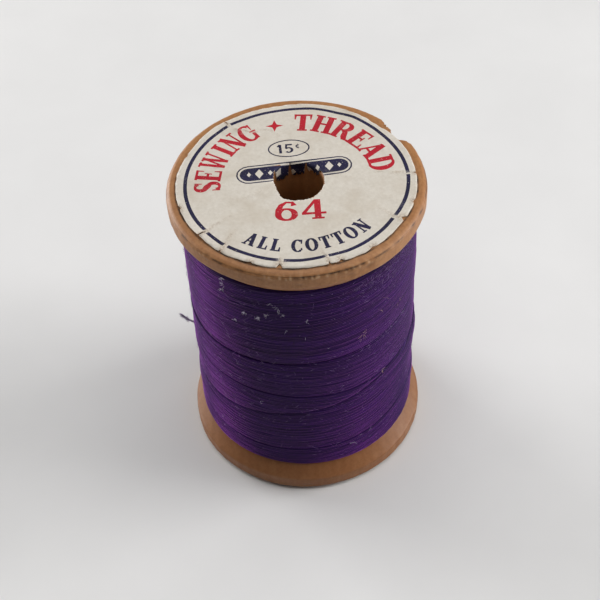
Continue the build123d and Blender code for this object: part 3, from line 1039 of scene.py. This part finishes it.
# Loose end of the thread, the route that the CAD solid takes
TAIL_ROUTE = [(11.57, 8.10, 5.85), (9.26, 11.22, 5.93), (6.25, 13.14, 6.07), (2.87, 14.27, 6.15),
              (-0.72, 14.53, 6.45), (-4.26, 13.90, 6.85), (-7.52, 12.46, 7.40), (-10.25, 10.34, 8.18),
              (-12.48, 7.74, 9.25), (-14.03, 5.10, 10.95), (-15.28, 3.66, 13.35), (-16.09, 3.03, 15.35)]
FRAY_HAIRS = 110


def twisted_tube(line):
    """Three plies twisted round a line of points: mesh points, faces and strand values."""
    way = unit(np.gradient(line, axis=0))
    outward = line * [1, 1, 0]
    outward = unit(outward - way * np.sum(outward * way, 1)[:, None])
    cross = np.cross(way, outward)
    length = np.concatenate([[0], np.cumsum(np.linalg.norm(np.diff(line, axis=0), axis=1))])
    turns = np.linspace(0, math.tau, PLY_SIDES, endpoint=False)
    tube = Shell()
    for ply in range(PLIES):
        phase = math.tau * (ply / PLIES + length / TWIST)
        centre = line + PLY_R * (np.cos(phase)[:, None] * outward + np.sin(phase)[:, None] * cross)
        tube.add(ring_rows(centre, outward, cross, PLY_R, turns).reshape(-1, 3),
                 tube_faces(len(line), PLY_SIDES),
                 [(s * 3.0, t / math.pi, 0.5 + 0.1 * ply) for s in length for t in turns])
    return tube.points, tube.faces, tube.strand


def spline_points(route):
    """Points along the smooth spline that has the route as its control points."""
    curve = bpy.data.curves.new("route", "CURVE")
    curve.dimensions = "3D"
    curve.resolution_u = 16
    spline = curve.splines.new("NURBS")
    spline.points.add(len(route) - 1)
    for point, place in zip(spline.points, route):
        point.co = (*(Vector(place) * MM), 1)
    spline.order_u = 3
    spline.use_endpoint_u = True
    holder = bpy.data.objects.new("route", curve)
    mesh = bpy.data.meshes.new_from_object(holder)
    line = np.array([tuple(v.co) for v in mesh.vertices]) / MM
    bpy.data.objects.remove(holder)
    bpy.data.meshes.remove(mesh)
    bpy.data.curves.remove(curve)
    return line


def make_tail(finish):
    line = spline_points(TAIL_ROUTE)
    points, faces, strand = twisted_tube(line)
    piece = new_mesh("loose_end", points, faces, [finish])
    point_values(piece, "strand", strand)
    # painted light: the visible tip of the loose end turns near white
    point_values(piece, "painted_light_end", 0.95 * smooth_step(10.5, 12.8, np.array(points)[:, 2]))
    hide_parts("thread_tail")
    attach(piece, "root")
    rng = np.random.default_rng(71)
    hairs = Shell()
    for _ in range(FRAY_HAIRS):
        share = rng.uniform(-0.1, 1)
        place = (166.4 + 3.0 * share + rng.normal(0, 0.4), 13.2 + 2.0 * share + rng.normal(0, 0.1))
        hairs.add(*fibre(place, rng.normal(1.2, 0.2), rng.uniform(0.3, 0.8), rng.normal(0, 0.4),
                         rng.normal(0.1, 0.12), 0.02, rng, 6, 1.72 + 0.66 * share))
    # the fray hairs are painted pale as well: painted light on the thin tip
    fray = gather("loose_end_fray", hairs, "painted_light_fray", srgb(204, 196, 210), srgb(232, 228, 236))
    length = float(np.linalg.norm(np.diff(line, axis=0), axis=1).sum()) * MM
    in_metres(TAIL_ROUTE[0])
    in_metres(line).tolist()


def make_cross_wraps(finish):
    wraps = Shell()
    kernel = np.hanning(17) / np.hanning(17).sum()
    for run, stand in CROSSINGS:
        angle, height = np.array(run, float).T
        fine = np.arange(angle[0], angle[-1], 0.8)
        high = np.convolve(np.pad(np.interp(fine, angle, height), 8, "edge"), kernel, "valid")
        share = (fine - fine[0]) / (fine[-1] - fine[0])
        sink = 0.45 * (smooth_step(0.08, 0.0, share) + smooth_step(0.92, 1.0, share))
        wraps.add(*twisted_tube(np.column_stack([*polar(LAYER_R + stand - sink, fine), high])))
    piece = new_mesh("crossing_wraps", wraps.points, wraps.faces, [finish])
    point_values(piece, "strand", wraps.strand)
    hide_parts("thread_cross_wraps")
    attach(piece, "root")


def fibre(start, heading, length, curl, lift, radius, rng, steps, stand=0.0):
    """Points and faces of a thin three-sided hair that wanders over the package. Start is an
    angle and a height, heading turns from the thread's own direction, lift is how far the tip
    stands off and stand how far its root does."""
    angle, height = start
    share = np.linspace(0, 1, steps)
    bend = heading + curl * share + 0.5 * curl * np.sin(math.tau * share * rng.uniform(0.5, 1.5))
    along, up = (np.concatenate([[0], np.cumsum(way(bend[:-1]))]) * length / (steps - 1)
                 for way in (np.cos, np.sin))
    out = LAYER_R + STRAND_R + 0.01 + stand + lift * share * rng.uniform(0.6, 1.3)
    line = np.column_stack([*polar(out, angle + np.degrees(along / LAYER_R)), height + up])
    way = unit(np.gradient(line, axis=0), 1e-9)
    side = unit(np.cross(way, line * [1, 1, 0]), 1e-9)
    thick = radius * (1 - 0.6 * share ** 3)[:, None, None]
    rows = ring_rows(line, side, np.cross(way, side), thick, np.radians([90, 210, 330]))
    return rows.reshape(-1, 3), tube_faces(steps, 3)


def gather(name, hairs, finish_name, *shades):
    """One piece of many hairs, in a finish of those shades."""
    lint = Finish(finish_name, Roughness=0.8, Specular_IOR_Level=0.2, Sheen_Weight=0.4)
    speck = lint.noise(lint.place(), 900, 3, 0.6)
    lint.done(lint.steps(speck, (0.3, shades[0]), (0.7, shades[1])), None, (speck, 0.02))
    piece = new_mesh(name, hairs.points, hairs.faces, [lint.material])
    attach(piece, "root")
    return piece


# Lint on the thread: angle, height, how many hairs, length of each
PALE_LINT = [(230.6, 36.1, 9, 0.45), (230.1, 35.2, 9, 0.4), (230.2, 34.2, 8, 0.35), (241.7, 31.9, 16, 0.3),
             (248.4, 31.7, 18, 0.33), (252.7, 32.5, 16, 0.3), (254.6, 34.3, 4, 0.4), (257.6, 33.9, 4, 0.5),
             (258.8, 33.3, 3, 0.4), (260.6, 32.7, 5, 0.4), (271.5, 31.9, 5, 0.4), (246, 16.1, 6, 0.3),
             (293, 6.7, 4, 0.4), (270, 29.25, 4, 0.5), (235, 29.9, 4, 0.4), (262, 30.4, 4, 0.4),
             (281, 26.5, 3, 0.4)]
TAN_LINT = [(299.2, 26.9, 13, 1.0), (324.3, 28.1, 8, 0.9), (311.5, 17.9, 4, 0.6), (317, 33.0, 3, 0.5),
            (309.5, 29.6, 9, 0.25)]
FUZZ_HAIRS, FUZZ_CLOSE = 3400, 1500     # so many of them are close together at the front right


def make_lint():
    rng = np.random.default_rng(70)
    low, high = LOW_EDGE + 0.3, HIGH_EDGE - 0.3
    hairs = Shell()
    for i in range(FUZZ_HAIRS):
        if i < FUZZ_CLOSE:
            angle, height = rng.normal(322, 17), rng.normal(31.5, 3.4)
        else:
            angle, height = rng.uniform(0, 360), low + (high - low) * rng.uniform(0, 1) ** 0.8
        if not low < height < high:
            continue
        hairs.add(*fibre((angle, height), rng.uniform(-1.2, 1.2) + math.pi * rng.integers(0, 2),
                         rng.uniform(0.2, 0.9), rng.normal(0, 1.2), rng.uniform(0.0, 0.14),
                         rng.uniform(0.008, 0.017), rng, 5))
    gather("thread_fuzz", hairs, "purple_fuzz", srgb(98, 60, 130), srgb(140, 100, 170))
    for name, places, radius, shades in (
            ("pale_lint", PALE_LINT, 0.018, (srgb(214, 202, 228), srgb(248, 244, 252))),
            ("tan_lint", TAN_LINT, 0.026, (srgb(150, 104, 96), srgb(214, 178, 156)))):
        hairs = Shell()
        for angle, height, count, length in places:
            for _ in range(count):
                place = (angle + rng.normal(0, 0.5), height + rng.normal(0, 0.12))
                hairs.add(*fibre(place, rng.uniform(0, math.tau), length * rng.uniform(0.5, 1.3),
                                 rng.normal(0, 1.8), rng.uniform(0.02, 0.3),
                                 radius * rng.uniform(0.5, 1.2), rng, 7))
        if name == "tan_lint":      # and one long hair
            hairs.add(*fibre((324, 28.2), 2.15, 4.6, 0.4, 0.15, 0.012, rng, 14))
        gather(name, hairs, name + "_fibre", *shades)


make_camera()
make_stage()
make_spool(wood_finish())
make_labels()
thread = thread_finish()
make_package(thread)
make_cross_wraps(thread)
make_tail(thread)
# the CAD nodes under the last layer keep their shape and take the thread's look
for node in ("thread_inner_layers", "thread_start"):
    frame["nodes"][node].data.materials.clear()
    frame["nodes"][node].data.materials.append(thread)
make_lint()
